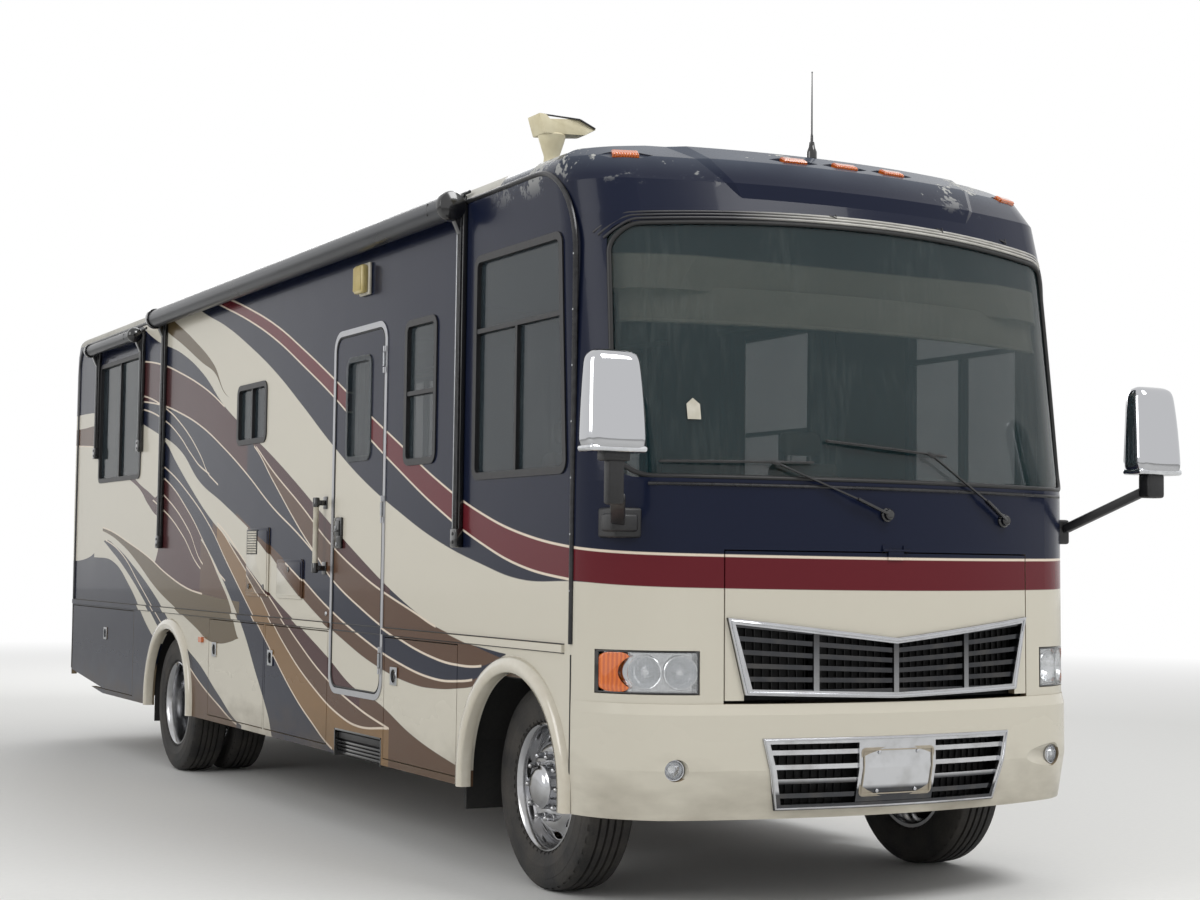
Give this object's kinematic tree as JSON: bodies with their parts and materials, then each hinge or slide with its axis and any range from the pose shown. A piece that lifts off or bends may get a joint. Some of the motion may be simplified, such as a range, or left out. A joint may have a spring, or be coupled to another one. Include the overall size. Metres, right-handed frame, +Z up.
{
  "type": "motorhome",
  "caption": "Bus-style motorhome on a truck frame with a big bowed windshield, V grille, chrome wheels, roof awning, hinged entry and bay doors, and steered front wheels.",
  "frame": {"origin": "middle of the footprint on the ground, under the centre of the overall box", "axes": "+Z up, the vehicle faces -Y, +X is its left (driver's) side"},
  "size_m": [3.11, 9.931, 3.7302],
  "materials": {
    "body_paint": "gloss clear coat over cream, with sweeps",
    "dark_paint": "gloss navy, clear coat peeling on top",
    "roof_skin": "weathered white roof skin",
    "chrome": "polished",
    "black_trim": "satin black",
    "glass": "green-grey tint",
    "lamp_clear": "clear lens",
    "lamp_amber": "amber lens",
    "lamp_red": "red lens",
    "frame_steel": "black chassis paint",
    "cast": "raw with dust",
    "steel": "dull steel",
    "aluminium": "satin",
    "tyre": "matte black rubber",
    "rubber": "matte black",
    "tank": "moulded black",
    "floor_deck": "laminate over a dark underside",
    "white_plastic": "sun-aged white",
    "cabin_plastic": "grained tan",
    "upholstery": "tan leather",
    "cabinet_wood": "varnished cherry"
  },
  "bodies": {
    "body": {"front_cap": "dark_paint", "front_bumper": "body_paint", "rear_cap": "dark_paint", "roof": "roof_skin", "side_wall_right": "body_paint", "side_wall_left": "body_paint", "skirt_right": "body_paint", "skirt_left": "body_paint", "windshield": "glass", "side_windows": "glass", "window_frames": "black_trim", "lower_grille": "chrome", "front_lamps": "lamp_clear", "marker_lamps": "lamp_amber", "tail_lamps": "lamp_red", "chassis_frame": "frame_steel", "leaf_springs": "steel", "front_axle": "cast", "rear_axle": "cast", "engine_block": "cast", "fuel_tank": "tank", "exhaust": "steel", "floor": "floor_deck", "entry_step": "frame_steel", "mud_flaps": "rubber", "awnings": "black_trim", "side_hatches": "white_plastic", "mirrors": "chrome", "wipers": "black_trim", "roof_equipment": "white_plastic", "antennas": "white_plastic", "rear_ladder": "aluminium", "dashboard": "cabin_plastic", "steering_wheel": "black_trim", "cab_seats": "upholstery", "overhead_cabinet": "cabin_plastic", "cabin_furniture": "cabinet_wood"},
    "hood": {"hood_lid": "body_paint", "upper_grille": "chrome"},
    "entry_door": {"entry_door": "body_paint", "entry_door_window": "glass"},
    "steering_right": {"knuckle_right": "cast"},
    "steering_left": {"knuckle_left": "cast"},
    "wheel_front_right": {"front_tyre_right": "tyre", "front_rim_right": "chrome"},
    "wheel_front_left": {"front_tyre_left": "tyre", "front_rim_left": "chrome"},
    "wheels_rear_right": {"rear_tyres_right": "tyre", "rear_rims_right": "chrome"},
    "wheels_rear_left": {"rear_tyres_left": "tyre", "rear_rims_left": "chrome"},
    "bay_door_right_1": {"bay_door_right_1": "body_paint"},
    "bay_door_right_2": {"bay_door_right_2": "body_paint"},
    "bay_door_right_3": {"bay_door_right_3": "body_paint"},
    "bay_door_right_4": {"bay_door_right_4": "body_paint"},
    "bay_door_left_1": {"bay_door_left_1": "body_paint"},
    "bay_door_left_2": {"bay_door_left_2": "body_paint"},
    "bay_door_left_3": {"bay_door_left_3": "body_paint"}
  },
  "joints": [
    {"name": "hood_hinge", "type": "hinge", "parent": "body", "child": "hood", "pos_m": [0, -4.8385, 1.538], "axis": [-1, 0, 0], "range_deg": [0, 75]},
    {"name": "entry_door_hinge", "type": "hinge", "parent": "body", "child": "entry_door", "pos_m": [-1.29, -2.1255, 1.735], "axis": [0, 0, 1], "range_deg": [0, 90]},
    {"name": "steering_right", "type": "hinge", "parent": "body", "child": "steering_right", "pos_m": [-0.8, -3.7205, 0.462], "axis": [0, 0, 1], "range_deg": [-35, 35]},
    {"name": "front_wheel_spin_right", "type": "hinge", "parent": "steering_right", "child": "wheel_front_right", "pos_m": [-1.01, -3.7205, 0.462], "axis": [1, 0, 0], "continuous": true},
    {"name": "steering_left", "type": "hinge", "parent": "body", "child": "steering_left", "pos_m": [0.8, -3.7205, 0.462], "axis": [0, 0, 1], "range_deg": [-35, 35]},
    {"name": "front_wheel_spin_left", "type": "hinge", "parent": "steering_left", "child": "wheel_front_left", "pos_m": [1.01, -3.7205, 0.462], "axis": [1, 0, 0], "continuous": true},
    {"name": "rear_wheels_spin_right", "type": "hinge", "parent": "body", "child": "wheels_rear_right", "pos_m": [-0.96, 1.7995, 0.462], "axis": [1, 0, 0], "continuous": true},
    {"name": "rear_wheels_spin_left", "type": "hinge", "parent": "body", "child": "wheels_rear_left", "pos_m": [0.96, 1.7995, 0.462], "axis": [1, 0, 0], "continuous": true},
    {"name": "bay_door_right_1_hinge", "type": "hinge", "parent": "body", "child": "bay_door_right_1", "pos_m": [-1.287, -2.6455, 1.073], "axis": [0, 1, 0], "range_deg": [0, 90]},
    {"name": "bay_door_right_2_hinge", "type": "hinge", "parent": "body", "child": "bay_door_right_2", "pos_m": [-1.287, -0.803, 1.073], "axis": [0, 1, 0], "range_deg": [0, 90]},
    {"name": "bay_door_right_3_hinge", "type": "hinge", "parent": "body", "child": "bay_door_right_3", "pos_m": [-1.287, 0.3215, 1.073], "axis": [0, 1, 0], "range_deg": [0, 90]},
    {"name": "bay_door_right_4_hinge", "type": "hinge", "parent": "body", "child": "bay_door_right_4", "pos_m": [-1.287, 3.7095, 1.073], "axis": [0, 1, 0], "range_deg": [0, 90]},
    {"name": "bay_door_left_1_hinge", "type": "hinge", "parent": "body", "child": "bay_door_left_1", "pos_m": [1.287, -2.248, 1.073], "axis": [0, -1, 0], "range_deg": [0, 90]},
    {"name": "bay_door_left_2_hinge", "type": "hinge", "parent": "body", "child": "bay_door_left_2", "pos_m": [1.287, -0.2395, 1.073], "axis": [0, -1, 0], "range_deg": [0, 90]},
    {"name": "bay_door_left_3_hinge", "type": "hinge", "parent": "body", "child": "bay_door_left_3", "pos_m": [1.287, 3.7095, 1.073], "axis": [0, -1, 0], "range_deg": [0, 90]}
  ],
  "couplings": [
    {"joint": "steering_right", "follows": "steering_left", "ratio": 1}
  ]
}
